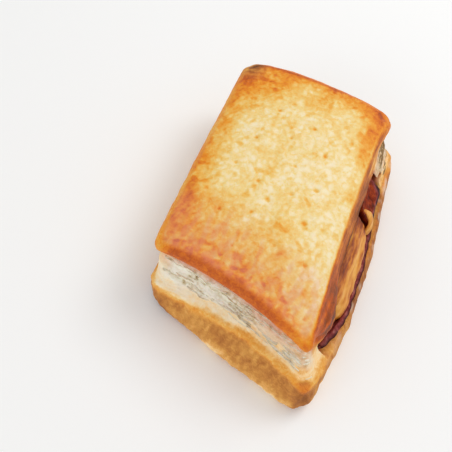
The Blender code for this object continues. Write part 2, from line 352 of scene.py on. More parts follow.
def side_relief(x, y, z, p, q):
    """How far the side stands out of its smooth form: leaves, blisters, folds and creases."""
    leaf_share = layered(p, q, z)
    phase = (z + 1.6 * wave(x, y, 0.0, 22.0)) / LAYER_PITCH
    coarse = abs(2.0 * (phase % 1.0) - 1.0) * 2.0 - 1.0
    level = (z + 0.9 * wave(x, y, 0.0, 13.0)) / LEAF_PITCH
    sheets = 1.0 - 3.0 * abs(noise.noise(Vector((x / 5.0, y / 5.0, level))))
    bubbles = wave(x, y, z * 1.3, 1.9)
    leaves = 0.6 * LAYER_DEPTH * coarse + 0.9 * wave(x, y, z, 9.0) + 0.36 * sheets + 0.34 * bubbles
    low = smoothstep(16.5, 12.5, z - 2.6 * front_rise(p, q))
    folds = noise.noise(Vector(((x + 0.7 * z) / 9.5, (y + 0.7 * z) / 9.5, z / 16.0 + 3.0)))
    creases = noise.noise(Vector(((x - 0.4 * z) / 2.8, (y - 0.4 * z) / 2.8, z / 9.0)))
    crust = 0.34 * wave(x, y, z, 7.0) + 0.17 * wave(x, y, z, 2.4)
    crust += low * mix(1.0, 0.55, sideways_share(p, q)) * (0.95 * folds + 0.55 * creases)
    return mix(crust, leaves, leaf_share)


def top_relief(x, y, p, q):
    """Height that blisters, wrinkles and the pull of the baked sheet add to the smooth top."""
    edge = 1.0 - max(abs(p), abs(q))
    fade = smoothstep(0.0, 0.06, edge)
    swirl_x, swirl_y = 2.2 * wave(x, y, 31.0, 6.0), 2.2 * wave(x, y, 37.0, 6.0)
    wrinkle = 1.0 - 3.4 * abs(noise.noise(Vector(((x + swirl_x) / 3.4, (y + swirl_y) / 2.4, 5.0))))
    relief = 0.30 * wave(x, y, 0.0, 8.0) + 0.10 * wave(x, y, 3.0, 2.6) + 0.13 * wrinkle
    front = smoothstep(0.55, 0.95, -q)
    relief += front * 0.30 * wave(x, y * 0.5, 6.0, 3.4)
    blister = max(0.0, wave(x, y, 40.0, 9.0) - 0.28)
    return fade * (relief + 1.3 * blister)


def docked(x, y):
    """Depth share of the docking marks at a point of the top."""
    depth = 0.0
    for mark_x, mark_y, size in MARKS:
        away = (x - mark_x) ** 2 + (y - mark_y) ** 2
        if away < DOCK_LIMIT**2:
            depth += size * math.exp(-away / (DOCK_RADIUS * size) ** 2)
    return depth


# Mean browning of each part, from 0 on pale dough to 1 on dark crust. Every part varies about
# its own: in broad clouds, in patches of a few millimetres and in a fine grain.
TOP_BAKE = 0.14
FRONT_BAKE = 0.21  # added towards the top's front
DOCK_BAKE = 0.27  # added in the docking marks
RIM_BAKE = 0.24
MOUTH_BAKE = (0.82, 0.72)  # the crust over the mouth, at its lip and at its top
FOLD_BAKE = 0.50
FRONT_END_BAKE = 0.71
BACK_END_BAKE = 0.58
LOWER_BAKE = 0.61
GOLD_BAKE = 0.36
LEDGE_BAKE = 0.11
LEAF_SHADE = 0.20

# Where the oven browned the top most: x, y, reach and strength.
BROWN_PATCHES = (
    (-31.0, 57.0, 11.0, 0.30),
    (-20.0, 61.0, 8.0, 0.16),
    (-3.0, 56.0, 7.5, 0.20),
    (9.0, 62.0, 5.0, 0.12),
    (25.0, 56.0, 10.0, 0.25),
    (25.0, 44.0, 7.0, 0.14),
    (-33.0, -8.0, 10.0, 0.08),
    (-24.0, -14.0, 6.0, 0.08),
    (8.0, -36.0, 8.0, 0.10),
)


def top_tone(x, y, p, q):
    """Browning and blush of the washed top: cream inside, golden to orange at its rim."""
    broad, middle = wave(x, y, 60.0, 15.0), wave(x, y, 90.0, 5.5)
    fine, streak = wave(x, y, 30.0, 2.1), noise.noise(Vector((x / 2.4, y / 6.0, 3.0)))
    web = 1.0 - 3.2 * abs(noise.noise(Vector((x / 2.9, y / 3.3, 17.0 + 0.2 * middle))))
    smudge = smoothstep(0.30, 0.55, wave(x, y, 200.0, 3.6))
    from_front, from_back = (1.0 + q) * HALF_LENGTH, (1.0 - q) * HALF_LENGTH
    from_left, from_right = (1.0 + p) * HALF_WIDTH, (1.0 - p) * HALF_WIDTH

    bake = TOP_BAKE + 0.08 * broad + 0.07 * middle + 0.05 * fine + 0.07 * web + 0.12 * smudge
    bake += 0.26 * bell(from_back, 7.0 + 4.0 * broad + 2.0 * middle)
    for spot_x, spot_y, reach, strength in BROWN_PATCHES:
        away = ((x - spot_x) ** 2 + (y - spot_y) ** 2) / reach**2
        if away < 6.0:
            bake += strength * math.exp(-away * (1.0 + 0.6 * middle))
    rim_band = smoothstep(6.4, 4.2, from_right) * (0.9 + 0.8 * middle)
    bake += mix(-0.05, 0.13, smoothstep(-6.0, 22.0, y)) * rim_band
    bake += (0.28 + 0.12 * middle) * bell(from_left, 7.5)
    front = smoothstep(40.0, 9.0, from_front + 4.0 * broad)
    front_bake = FRONT_BAKE - 0.11 * smoothstep(-0.2, 0.7, p)
    bake += front * (front_bake + 0.07 * streak + 0.05 * middle + 0.03 * fine)
    stripe = smoothstep(-0.95, -0.6, p) * (1.0 - 0.8 * smoothstep(0.45, 0.9, p))
    bake += 0.20 * bell(from_front, 2.4) * stripe
    bake += DOCK_BAKE * smoothstep(0.05, 1.0, docked(x, y))
    bake += 0.30 * smoothstep(0.86, 1.0, -p) * smoothstep(0.92, 1.0, q)
    bake += mix(0.22, 0.08, smoothstep(0.0, 0.7, p)) * bell(from_back, 1.3)
    bake -= 0.12 * smoothstep(0.5, 0.9, -p) * smoothstep(0.7, 0.95, -q)

    scorch = smoothstep(0.22, 0.5, wave(x, y, 220.0, 2.8)) * bell(from_front - 4.5, 3.6)
    blush = smoothstep(-0.2, 0.4, wave(x, y, 150.0, 3.4)) * smoothstep(24.0, 5.0, from_front)
    smears = smoothstep(-0.2, 0.4, wave(x * 1.5, y * 0.5, 170.0, 3.0))
    blush = max(blush, (0.4 + 0.6 * smears) * front)
    blush = max(blush, 0.7 * smoothstep(-0.6, -0.95, p) * smoothstep(-0.4, -0.65, q))
    return clamp(bake + 0.26 * scorch), max(blush, scorch)


def side_tone(x, y, z, p, q):
    """Browning and egg wash of the sides, without their bared leaves, with painted shade at the
    mouth's lip and on the lower crust.
    """
    broad, middle = wave(x, y, z + 60.0, 15.0), wave(x, y, z + 90.0, 6.0)
    fine = wave(x, y, z + 30.0, 2.2)
    if p > 0:
        rim = RIM_BAKE + 0.10 * middle
        roof = pocket_roof(x, y)
        up = clamp((z - roof) / max(36.5 - roof, 1.0))
        lit = mix(*MOUTH_BAKE, up) + 0.13 * smoothstep(4.0, -36.0, y)
        lit += 0.12 * middle + 0.06 * fine
        lit += mix(0.34, 0.18, up) * noise.noise(Vector((x / 3.0, y / 11.0, z / 1.6 + 0.05 * y)))
        side = mix(lit, rim, smoothstep(*SIDE_TO_RIM, z))
        # Painted shade: a dark band along the lip just above the pocket's roof, where the crust
        # shadows the filling.
        lip_shade = 0.16 + 0.30 * max(0.0, wave(x, y, z, 5.0))
        side += lip_shade * bell(z - roof, 1.8)
        side -= 0.30 * smoothstep(30.0, 44.0, y) * smoothstep(36.0, 33.0, z)
    else:
        side = FOLD_BAKE + 0.12 * broad + 0.08 * middle
    front_end = FRONT_END_BAKE - 0.24 * smoothstep(-0.72, -0.95, p) + 0.08 * middle + 0.04 * fine
    front_end -= 0.20 * smoothstep(0.5, 0.95, p)
    end = front_end if q < 0 else BACK_END_BAKE + 0.12 * middle
    lip = mix(end, side, sideways_share(p, q))

    edge_level = z - CRUST_EDGE - 0.8 * wave(x, y, 30.0, 14.0) - RISE_EDGE * front_rise(p, q)
    folds = noise.noise(Vector(((x + 0.7 * z) / 9.5, (y + 0.7 * z) / 9.5, z / 16.0 + 3.0)))
    runs = noise.noise(Vector(((x - 0.4 * z) / 1.5, (y - 0.4 * z) / 1.5, z / 7.0)))
    lower = LOWER_BAKE + 0.07 * broad + 0.06 * middle + 0.09 * fine - 0.07 * folds + 0.08 * runs
    pale = smoothstep(0.10, 0.45, wave(x, y, z + 120.0, 10.0)) * smoothstep(11.0, 6.0, z)
    lower -= 0.18 * pale
    faded = smoothstep(10.0, 4.0, z) * smoothstep(-0.8, 0.2, p)
    lower += 0.06 * smoothstep(3.0, 0.0, z) - 0.16 * faded
    # Painted shade: darker near the foot on the left side.
    lower += 0.22 * smoothstep(-0.35, -0.9, p) * smoothstep(7.0, 2.0, z)
    gold = bell(edge_level + 1.2, 1.5)
    grain = noise.noise(Vector((x / 7.0, y / 7.0, z / 0.7 + 3.0 * wave(x, y, 0.0, 9.0))))
    lower = mix(lower, GOLD_BAKE + 0.08 * middle, 0.8 * gold)
    ledge = LEDGE_BAKE * (1.0 + smoothstep(-0.2, 0.5, p))
    ledge += 0.08 * middle + 0.07 * fine + 0.14 * grain
    lower = mix(lower, ledge, smoothstep(-0.9, 1.1, edge_level + 0.5 * wave(x, y, z, 3.0)))
    lower += 0.16 * smoothstep(0.80, 1.0, p) * smoothstep(0.86, 1.0, -q)
    # Painted shade: browner along the right side below the mouth, under the overhanging crust.
    lower += 0.12 * smoothstep(0.85, 1.0, p) * smoothstep(-0.6, -0.1, q)
    washed = smoothstep(20.0 + 3.5 * front_rise(p, q), 27.0, z)
    thin = mix(0.0, 0.45, smoothstep(-36.0, 10.0, y)) * sideways_share(p, q) if p > 0 else 0.0
    thin *= smoothstep(38.4, 36.5, z)
    return clamp(mix(lower, lip, washed)), max(washed * (1.0 - thin), 0.25 + 0.55 * gold)


def crust_tone(x, y, z, p, q, on_top):
    """Browning, leaves, egg wash and a last value: leaf tone with painted shade on leaves, blush
    on crust.
    """
    top_share = 1.0 if on_top else smoothstep(*RIM_TO_TOP, z)
    bake, wash = (0.0, 1.0) if on_top else side_tone(x, y, z, p, q)
    blush = 0.0
    if top_share > 0.0:
        top_bake, blush = top_tone(x, y, p, q)
        bake, wash = mix(bake, top_bake, top_share), mix(wash, 1.0, top_share)
        blush *= top_share
    wash *= 1.0 - 0.75 * smoothstep(0.65, 0.95, -p) * smoothstep(0.75, 0.95, q)
    if on_top:
        return clamp(bake), 0.0, wash, blush
    leaf_share = layered(p, q, z)
    # Painted shade: the leaves darken where their relief sinks in, and above 25 mm under the upper
    # crust's lip; the spots added with it are their own brown.
    shade = LEAF_SHADE - 0.34 * side_relief(x, y, z, p, q)
    shade += 0.55 * smoothstep(25.0, 29.5, z) + 0.5 * smoothstep(0.42, 0.60, wave(x, y, z, 3.4))
    shade += 1.25 * smoothstep(0.6, 0.95, p) * smoothstep(0.4, 0.7, q)
    shade += 0.5 * smoothstep(17.0, 14.0, z)
    shade += 0.45 * smoothstep(-0.3, 0.5, p) * front_share(q)
    return clamp(bake), leaf_share, clamp(wash), mix(blush, clamp(shade), leaf_share)


def grid_box(segments, closed=True):
    """The surface of a cube from -1 to 1, as grids joined at their edges."""
    across, along, up = segments
    flat, upright = Matrix(), Matrix.Rotation(math.radians(90), 4, "X")
    turned = Matrix.Rotation(math.radians(90), 4, "Z") @ upright
    faces = [
        (across, along, Matrix.Translation((0, 0, 1)) @ flat),
        (across, up, Matrix.Translation((0, -1, 0)) @ upright),
        (across, up, Matrix.Translation((0, 1, 0)) @ upright),
        (along, up, Matrix.Translation((1, 0, 0)) @ turned),
        (along, up, Matrix.Translation((-1, 0, 0)) @ turned),
    ]
    if closed:
        faces.append((across, along, Matrix.Translation((0, 0, -1)) @ flat))
    box = bmesh.new()
    for columns, rows, place in faces:
        bmesh.ops.create_grid(box, x_segments=columns, y_segments=rows, size=1.0, matrix=place)
    bmesh.ops.remove_doubles(box, verts=box.verts[:], dist=1e-5)
    return box


def finish_mesh(name, shape, sharp_angle=55.0):
    """Closes a bmesh into a smooth-shaded object with its faces outwards."""
    bmesh.ops.recalc_face_normals(shape, faces=shape.faces[:])
    mesh = bpy.data.meshes.new(name)
    shape.to_mesh(mesh)
    shape.free()
    mesh.shade_smooth()
    mesh.set_sharp_from_angle(angle=math.radians(sharp_angle))
    piece = bpy.data.objects.new(name, mesh)
    bpy.context.scene.collection.objects.link(piece)
    return piece


def apply_modifiers(piece):
    """Gives a piece the mesh that its modifiers make, and returns that mesh."""
    depsgraph = bpy.context.evaluated_depsgraph_get()
    piece_mesh = bpy.data.meshes.new_from_object(piece.evaluated_get(depsgraph))
    piece.modifiers.clear()
    piece.data = piece_mesh
    return piece_mesh


def keep_values(mesh, name, values):
    """Keeps one number or one colour for each vertex, where the material reads it."""
    is_colour = isinstance(values[0], tuple)
    attribute = mesh.attributes.new(name, "FLOAT_COLOR" if is_colour else "FLOAT", "POINT")
    for item, value in zip(attribute.data, values):
        setattr(item, "color" if is_colour else "value", value)


def placed(x, y, z):
    return (Vector((x, y, z)) + TURNOVER_SHIFT) * MM


def unplaced(place):
    return place / MM - TURNOVER_SHIFT


ROW_DEPTHS = [
    (i + k / rows) / len(ROWS_BETWEEN_STATIONS)
    for i, rows in enumerate(ROWS_BETWEEN_STATIONS)
    for k in range(rows)
] + [1.0]


def case_vertex(p, q, w):
    """A point of the case and its tone, for a point of the cube."""
    droop = CORNER_DROOP * abs(p * q) ** 6
    front_middle = (1.0 - p * p) * front_share(q)
    if w > 1.0 - 1e-6:
        _, base_share, inset = side_station(p, q, 0.0)
        x, y = plan_point(p, q, base_share, inset)
        dome = (1.0 - abs(p) ** 3.0) * (1.0 - abs(q) ** 3.0)
        z = RIM_HEIGHT + CREASE_LIFT + DOME_RISE * dome - droop
        z += TOP_WAVE * dome * wave(x, y, 0.0, 20.0) + top_relief(x, y, p, q)
        z -= DOCK_DEPTH * docked(x, y)
        rim_share = smoothstep(0.93, 1.0, max(abs(p), abs(q)))
        z += rim_share * (RIM_WAVE * wave(x, y, 3.0, 24.0) + LIP_ARCH * front_middle)
        return (x, y, z), crust_tone(x, y, z, p, q, True)
    depth = ROW_DEPTHS[round((1.0 - w) / 2.0 * CASE_SEGMENTS[2])]
    z, base_share, inset = side_station(p, q, depth)
    x, y = plan_point(p, q, base_share, inset)
    lower = smoothstep(4.0, 14.0, z) * (1.0 - smoothstep(17.0, 26.0, z))
    settle = smoothstep(0.0, 3.0, z) * smoothstep(39.0, 36.0, z)
    rise = front_rise(p, q)
    out = settle * side_relief(x, y, z, p, q)
    out -= lower * (RIDGE_SETBACK * front_middle + RISE_SETBACK * rise)
    out += RISE_STEP * rise * bell(z - LAYER_BAND[0], 1.6)
    out += flare(p, q, z) - lip_roll(x, y, z, p)
    x, y = plan_point(p, q, base_share, inset - out)
    upper = smoothstep(24.0, 36.0, z)
    tone = crust_tone(x, y, z, p, q, False)
    z += upper * (RIM_WAVE * wave(x, y, 3.0, 24.0) - droop + LIP_ARCH * front_middle)
    ridge = RIDGE_ARCH * front_middle + RISE_LIFT * rise + RIDGE_WAVE * wave(x, y, 30.0, 14.0)
    z += lower * ridge
    return (x, y, z), tone


def pocket_cutter():
    cutter = grid_box(POCKET_SEGMENTS)
    for vertex in cutter.verts:
        u, v, w = vertex.co
        x = mix(POCKET_LEFT, POCKET_RIGHT, (u + 1.0) / 2.0)
        y = pocket_row(x, (v + 1.0) / 2.0)
        ragged = 0.35 * smoothstep(20.0, 30.0, x) * wave(0.0, y, 50.0, 3.5)
        roof = pocket_roof(x, y) + max(0.0, ragged)
        vertex.co = placed(x, y, mix(pocket_floor(x, y), roof, (w + 1.0) / 2.0))
    return finish_mesh("pocket_cutter", cutter)


# A vertex this far from the crust lies on the pocket's walls. They have the tone of bared
# crust on the floor near the mouth, and a dark, washed one elsewhere.
POCKET_WALL_FROM = 0.9
FLOOR_FROM = 33.0
FLOOR_TONE = (0.55, 0.0, 0.3, 0.0)
POCKET_TONE = (0.78, 0.0, 1.0, 0.7)


def bake_case():
    """The case's mesh, with its tones kept beside the vertices until the pocket is cut."""
    shell = grid_box(CASE_SEGMENTS, closed=False)
    tones = []
    for vertex in shell.verts:
        place, tone = case_vertex(*vertex.co)
        vertex.co = placed(*place)
        tones.append((vertex.co.copy(), tone))
    rim_edges = [edge for edge in shell.edges if edge.is_boundary]
    bmesh.ops.contextual_create(shell, geom=rim_edges)
    case = finish_mesh("pastry_case", shell)

    cutter = pocket_cutter()
    hole = case.modifiers.new("Pocket", "BOOLEAN")
    hole.operation = "DIFFERENCE"
    hole.solver = "EXACT"
    hole.object = cutter
    cut_mesh = apply_modifiers(case)
    bpy.data.objects.remove(cutter)

    finder = kdtree.KDTree(len(tones))
    for index, (place, _) in enumerate(tones):
        finder.insert(place, index)
    finder.balance()
    cut_tones = []
    for vertex in cut_mesh.vertices:
        _, nearest, away = finder.find(vertex.co)
        tone = tones[nearest][1]
        if away > POCKET_WALL_FROM * MM:
            x, y, z = unplaced(vertex.co)
            tone = FLOOR_TONE if x > FLOOR_FROM and z < ham_level(x, y) else POCKET_TONE
        cut_tones.append(tone)
    keep_values(cut_mesh, "crust", cut_tones)
    cut_mesh.shade_smooth()
    cut_mesh.set_sharp_from_angle(angle=math.radians(60.0))
    return case


def linear(hex_colour):
    """A colour written as sRGB hex, as the linear values a shader takes."""
    parts = [int(hex_colour[i : i + 2], 16) / 255.0 for i in (1, 3, 5)]
    red, green, blue = (
        c / 12.92 if c <= 0.04045 else ((c + 0.055) / 1.055) ** 2.4 for c in parts
    )
    return red, green, blue, 1.0


def add_node(tree, kind, inputs=None, stops=(), **settings):
    """A node with its settings, its input values or links, and a ramp's stops."""
    node = tree.nodes.new(kind)
    for name, value in settings.items():
        setattr(node, name, value)
    for socket, value in (inputs or {}).items():
        if isinstance(value, bpy.types.NodeSocket):
            tree.links.new(value, node.inputs[socket])
        else:
            node.inputs[socket].default_value = value
    for index, (position, colour) in enumerate(stops):
        if index >= len(node.color_ramp.elements):
            node.color_ramp.elements.new(position)
        node.color_ramp.elements[index].position = position
        node.color_ramp.elements[index].color = linear(colour)
    return node


def pattern_scale(size_mm):
    """A texture node's scale for features of that size."""
    return 1.0 / (size_mm * MM)


def new_material(name, constants):
    """A material with its shader's constant values, its node tree and that shader."""
    material = bpy.data.materials.new(name)
    material.use_nodes = True
    shader = material.node_tree.nodes["Principled BSDF"]
    for socket, value in constants.items():
        shader.inputs[socket].default_value = value
    return material, material.node_tree, shader


# Baked puff pastry, egg-washed on top: cream where the wash is thin, orange to brown where it
# pooled and caught the heat. Washed crust is satin, the torn leaves are matt and papery.
crust_material, crust_tree, crust_shader = new_material(
    "baked_puff_pastry",
    {
        "IOR": 1.45, "Specular IOR Level": 0.28,
        "Subsurface Weight": 0.08, "Subsurface Radius": (0.003, 0.0016, 0.0008),
    },
)
tone = add_node(crust_tree, "ShaderNodeAttribute", attribute_name="crust")
tone_parts = add_node(crust_tree, "ShaderNodeSeparateColor", {"Color": tone.outputs["Color"]})
bake, leaf, wash = tone_parts.outputs
place = add_node(crust_tree, "ShaderNodeTexCoord").outputs["Object"]
speckle = add_node(
    crust_tree, "ShaderNodeTexNoise",
    {
        "Vector": place, "Scale": pattern_scale(1.7), "Detail": 5.0, "Roughness": 0.66,
        "Distortion": 1.1,
    },
)
veins = add_node(
    crust_tree, "ShaderNodeTexNoise",
    {"Vector": place, "Scale": pattern_scale(4.5), "Detail": 3.0, "Distortion": 0.8},
    noise_type="RIDGED_MULTIFRACTAL",
)
speckled = add_node(
    crust_tree, "ShaderNodeMath",
    {0: speckle.outputs["Fac"], 1: 0.46, 2: -0.23}, operation="MULTIPLY_ADD",
)
veined = add_node(
    crust_tree, "ShaderNodeMath",
    {0: veins.outputs["Fac"], 1: 0.12, 2: -0.06}, operation="MULTIPLY_ADD",
)
uneven = add_node(
    crust_tree, "ShaderNodeMath", {0: speckled.outputs[0], 1: veined.outputs[0]}, operation="ADD"
)
browning = add_node(
    crust_tree, "ShaderNodeMath", {0: bake, 1: uneven.outputs[0]}, operation="ADD", use_clamp=True
)
washed_colour = add_node(
    crust_tree, "ShaderNodeValToRGB", {"Fac": browning.outputs[0]},
    stops=(
        (0.00, "#f8e7bf"),
        (0.14, "#f3d58c"),
        (0.28, "#f0bc5a"),
        (0.42, "#ed9a25"),
        (0.56, "#df7613"),
        (0.70, "#c2570f"),
        (0.84, "#99450f"),
        (1.00, "#5c3012"),
    ),
)
dry_colour = add_node(
    crust_tree, "ShaderNodeValToRGB", {"Fac": browning.outputs[0]},
    stops=(
        (0.00, "#fdecce"),
        (0.25, "#fed49c"),
        (0.36, "#eab26a"),
        (0.48, "#cf9a4f"),
        (0.62, "#b27b3b"),
        (0.80, "#885829"),
        (1.00, "#5c3213"),
    ),
)
crust_colour = add_node(
    crust_tree, "ShaderNodeMix",
    {0: wash, 6: dry_colour.outputs[0], 7: washed_colour.outputs[0]}, data_type="RGBA",
)
leaf_grain = add_node(
    crust_tree, "ShaderNodeTexNoise",
    {"Vector": place, "Scale": pattern_scale(2.2), "Detail": 3.0, "Roughness": 0.6},
)
leaf_grain_share = add_node(
    crust_tree, "ShaderNodeMath",
    {0: leaf_grain.outputs["Fac"], 1: 0.9, 2: -0.1}, operation="MULTIPLY_ADD",
)
# The attribute's last value carries the leaves' painted shade from crust_tone as well as their own
# tone.
leaf_tone = add_node(
    crust_tree, "ShaderNodeMath",
    {0: tone.outputs["Alpha"], 1: 0.55, 2: leaf_grain_share.outputs[0]}, operation="MULTIPLY_ADD",
)
leaf_colour = add_node(
    crust_tree, "ShaderNodeValToRGB", {"Fac": leaf_tone.outputs[0]},
    stops=(
        (0.34, "#f6f1e1"),
        (0.56, "#ebe3cd"),
        (0.76, "#cdb991"),
        (0.96, "#8f7047"),
    ),
)
blush_share = add_node(
    crust_tree, "ShaderNodeMath", {0: tone.outputs["Alpha"], 1: 0.46}, operation="MULTIPLY"
)
blushed_colour = add_node(
    crust_tree, "ShaderNodeMix",
    {0: blush_share.outputs[0], 6: crust_colour.outputs[2], 7: linear("#de8672")},
    data_type="RGBA",
)
surface_colour = add_node(
    crust_tree, "ShaderNodeMix",
    {0: leaf, 6: blushed_colour.outputs[2], 7: leaf_colour.outputs[0]}, data_type="RGBA",
)
crust_tree.links.new(surface_colour.outputs[2], crust_shader.inputs["Base Color"])
matt = add_node(crust_tree, "ShaderNodeMapRange", {0: wash, 3: 0.74, 4: 0.48})
crust_tree.links.new(matt.outputs[0], crust_shader.inputs["Roughness"])
pores = add_node(
    crust_tree, "ShaderNodeTexNoise",
    {"Vector": place, "Scale": pattern_scale(0.9), "Detail": 4.0, "Roughness": 0.6},
)
pore_bump = add_node(
    crust_tree, "ShaderNodeBump",
    {"Height": pores.outputs["Fac"], "Strength": 0.5, "Distance": 0.35 * MM},
)
wrinkles = add_node(
    crust_tree, "ShaderNodeTexNoise",
    {"Vector": place, "Scale": pattern_scale(2.1), "Detail": 2.0, "Distortion": 1.4},
    noise_type="RIDGED_MULTIFRACTAL",
)
wrinkle_bump = add_node(
    crust_tree, "ShaderNodeBump",
    {
        "Height": wrinkles.outputs["Fac"], "Strength": 0.45, "Distance": 0.18 * MM,
        "Normal": pore_bump.outputs["Normal"],
    },
)
vein_bump = add_node(
    crust_tree, "ShaderNodeBump",
    {
        "Height": veins.outputs["Fac"], "Strength": 0.4, "Distance": 0.3 * MM,
        "Normal": wrinkle_bump.outputs["Normal"],
    },
)
crust_tree.links.new(vein_bump.outputs["Normal"], crust_shader.inputs["Normal"])

pastry_case = bake_case()
pastry_case.data.materials.clear()
pastry_case.data.materials.append(crust_material)
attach(pastry_case, "root")
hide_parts("pastry")

# ---------------------------------------------------------------------------------------------
# Loose leaves of pastry. Where the folded sheet was cut, steam parted its leaves: thin cream
# flakes with toasted edges that curl a little way out of the sides.

LEAF_THICKNESS = 0.2
LEAF_SEGMENTS = (12, 3)
LEAF_ROOT = 0.6  # how deep a leaf starts inside the side
# Stretches of the side that leaves grow from, in the cube's own units: the ends of the
# stretch, the row of the case at its top and at its foot, how many, length, reach and shade.
LEAF_STRETCHES = (
    ((-0.97, -1.0), (0.99, -1.0), 24, 50, 64, (4.0, 13.0), (0.3, 0.9), 0.12),
    ((-0.97, 1.0), (0.99, 1.0), 24, 50, 64, (4.0, 13.0), (0.3, 0.9), 0.12),
    ((1.0, 0.74), (1.0, 0.99), 24, 52, 16, (4.0, 9.0), (0.3, 1.1), 0.85),
    ((1.0, -0.99), (1.0, -0.90), 26, 52, 8, (2.0, 4.5), (0.3, 0.8), 0.12),
)
LEAF_DRAWS = 11  # the seed of the leaves' sizes and places


def side_point(u, v, row):
    place, _ = case_vertex(u, v, 1.0 - 2.0 * row / CASE_SEGMENTS[2])
    return Vector(place)


def grow_leaves():
    draw = random.Random(LEAF_DRAWS)
    sheet = bmesh.new()
    tones = []
    for start, end, top_row, foot_row, count, lengths, reaches, shade in LEAF_STRETCHES:
        first, last = Vector(start), Vector(end)
        span = (side_point(*start, top_row) - side_point(*end, top_row)).length
        for _ in range(count):
            middle, row = draw.random(), draw.randint(top_row, foot_row)
            length, reach = draw.uniform(*lengths), draw.uniform(*reaches)
            curl, tilt = draw.uniform(-0.5, 0.7), draw.uniform(-0.6, 0.6)
            grid = bmesh.ops.create_grid(
                sheet, x_segments=LEAF_SEGMENTS[0], y_segments=LEAF_SEGMENTS[1], size=1.0
            )
            for vertex in grid["verts"]:
                s, t = vertex.co.x, (vertex.co.y + 1.0) / 2.0
                share = clamp(middle + s * length / (2.0 * span))
                along = first.lerp(last, share)
                near = first.lerp(last, share + 0.004)
                root = side_point(along.x, along.y, row)
                outwards = (side_point(near.x, near.y, row) - root).cross(Vector((0, 0, 1)))
                outwards.z = 0.0
                outwards.normalize()
                if outwards.dot(Vector((along.x, along.y, 0.0))) < 0.0:
                    outwards.negate()
                ragged = (1.0 - s**4) * (0.75 + 0.5 * wave(root.x, root.y, 300.0 + row, 1.6))
                rooted = t < 1 / 3
                out = LEAF_ROOT * (t * 3.0 - 1.0) if rooted else reach * ragged * (t * 1.5 - 0.5)
                lift = tilt * s * length * 0.08 + curl * max(0.0, out) * t
                lift += 0.25 * wave(root.x, root.y, row, 2.5)
                vertex.co = placed(*(root + out * outwards + Vector((0.0, 0.0, lift))))
                tones.append((0.1, 1.0, 0.0, 0.35 * t * t + 0.12 * draw.random() + shade))
    leaves = finish_mesh("loose_leaves", sheet)
    keep_values(leaves.data, "crust", tones)
    thickness = leaves.modifiers.new("Thickness", "SOLIDIFY")
    thickness.thickness = LEAF_THICKNESS * MM
    thickness.offset = 0.0
    return leaves


loose_leaves = grow_leaves()
loose_leaves.data.materials.append(crust_material)
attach(loose_leaves, "root")

# ---------------------------------------------------------------------------------------------
# The ham. A slice of cooked ham about 2.4 mm thick lies on the lower pastry and turns up at the
# mouth, where the oven dried it: dark red on its face, almost black purple along its edge.

HAM_TURN_RADIUS = 2.6
HAM_TURN = math.radians(118)
FLAP_TURN = math.radians(138)  # the tall flap at the back leans in against the upper crust
TAIL_TURN = math.radians(62)  # and the front end, bared before the crust, leans out
STRIP_LENGTH = 4.0  # from the turn to the edge, in the middle of the mouth
FLAP_RISE = 10.0  # the tall flap is longer by this
TAIL_RISE = 2.8  # and the front end by this
HAM_FLAT_SHARE = 0.22
HAM_SEGMENTS = (90, 230)


def ham_row(x, share):
    """Y of a row of the ham's grid: its back right corner is cut off."""
    front_margin = mix(2.0, 0.6, smoothstep(22.0, 33.0, x))
    back_margin = mix(1.5, 9.5, smoothstep(22.0, 33.0, x))
    return pocket_row(x, share, front_margin, back_margin)


def ham_edge(y):
    """Where the slice starts to turn up: it bulges in the middle and draws back at both ends."""
    draw_back = 6.0 * smoothstep(-24.0, -47.0, y) + 3.2 * smoothstep(-2.0, 30.0, y)
    draw_back += 0.4 * smoothstep(-22.0, -30.0, y)
    draw_back += 0.8 * smoothstep(30.0, 46.0, y)
    return HAM_EDGE + 1.0 - draw_back + 0.4 * wave(3.0, y, 0.0, 12.0)


def ham_turn(y):
    """Angle that the slice's edge turns through behind its bared front end."""
    return mix(HAM_TURN, FLAP_TURN, smoothstep(15.0, 20.0, y))


def bared_tail(y):
    """From 0 to 1 along the slice's front end, which the upper crust leaves bare."""
    return smoothstep(-24.0, -31.0, y) * smoothstep(-46.5, -41.0, y)


def turned(run, y):
    """Angle of the strip after a run along it, and how much of the run lies beyond the turn."""
    turn = min(run / HAM_TURN_RADIUS, mix(ham_turn(y), TAIL_TURN, bared_tail(y)))
    return turn, run - turn * HAM_TURN_RADIUS


def ham_reach(y):
    """How far the turned-up strip reaches beyond the edge where it starts to turn."""
    turn, beyond = turned(ham_strip(y), y)
    if turn > math.pi / 2.0:
        return HAM_TURN_RADIUS + HAM_THICKNESS / 2.0
    out = (HAM_TURN_RADIUS + HAM_THICKNESS / 2.0) * math.sin(turn)
    return out + beyond * math.cos(turn)


def ham_strip(y):
    """Length of the strip that turns up at the mouth: tall at the back, low in the middle."""
    tail, most = bared_tail(y), ham_turn(y)
    length = STRIP_LENGTH + FLAP_RISE * smoothstep(16.0, 22.0, y)
    length += TAIL_RISE * tail + 0.3 * wave(0.0, y, 0.0, 7.0)
    headroom = cheese_level(HAM_EDGE, y) - ham_level(HAM_EDGE, y) + 2.0 * tail
    straight = headroom - HAM_THICKNESS / 2.0 - HAM_TURN_RADIUS * (1.0 - math.cos(most))
    return min(length, HAM_TURN_RADIUS * most + max(0.0, straight) / math.sin(most))


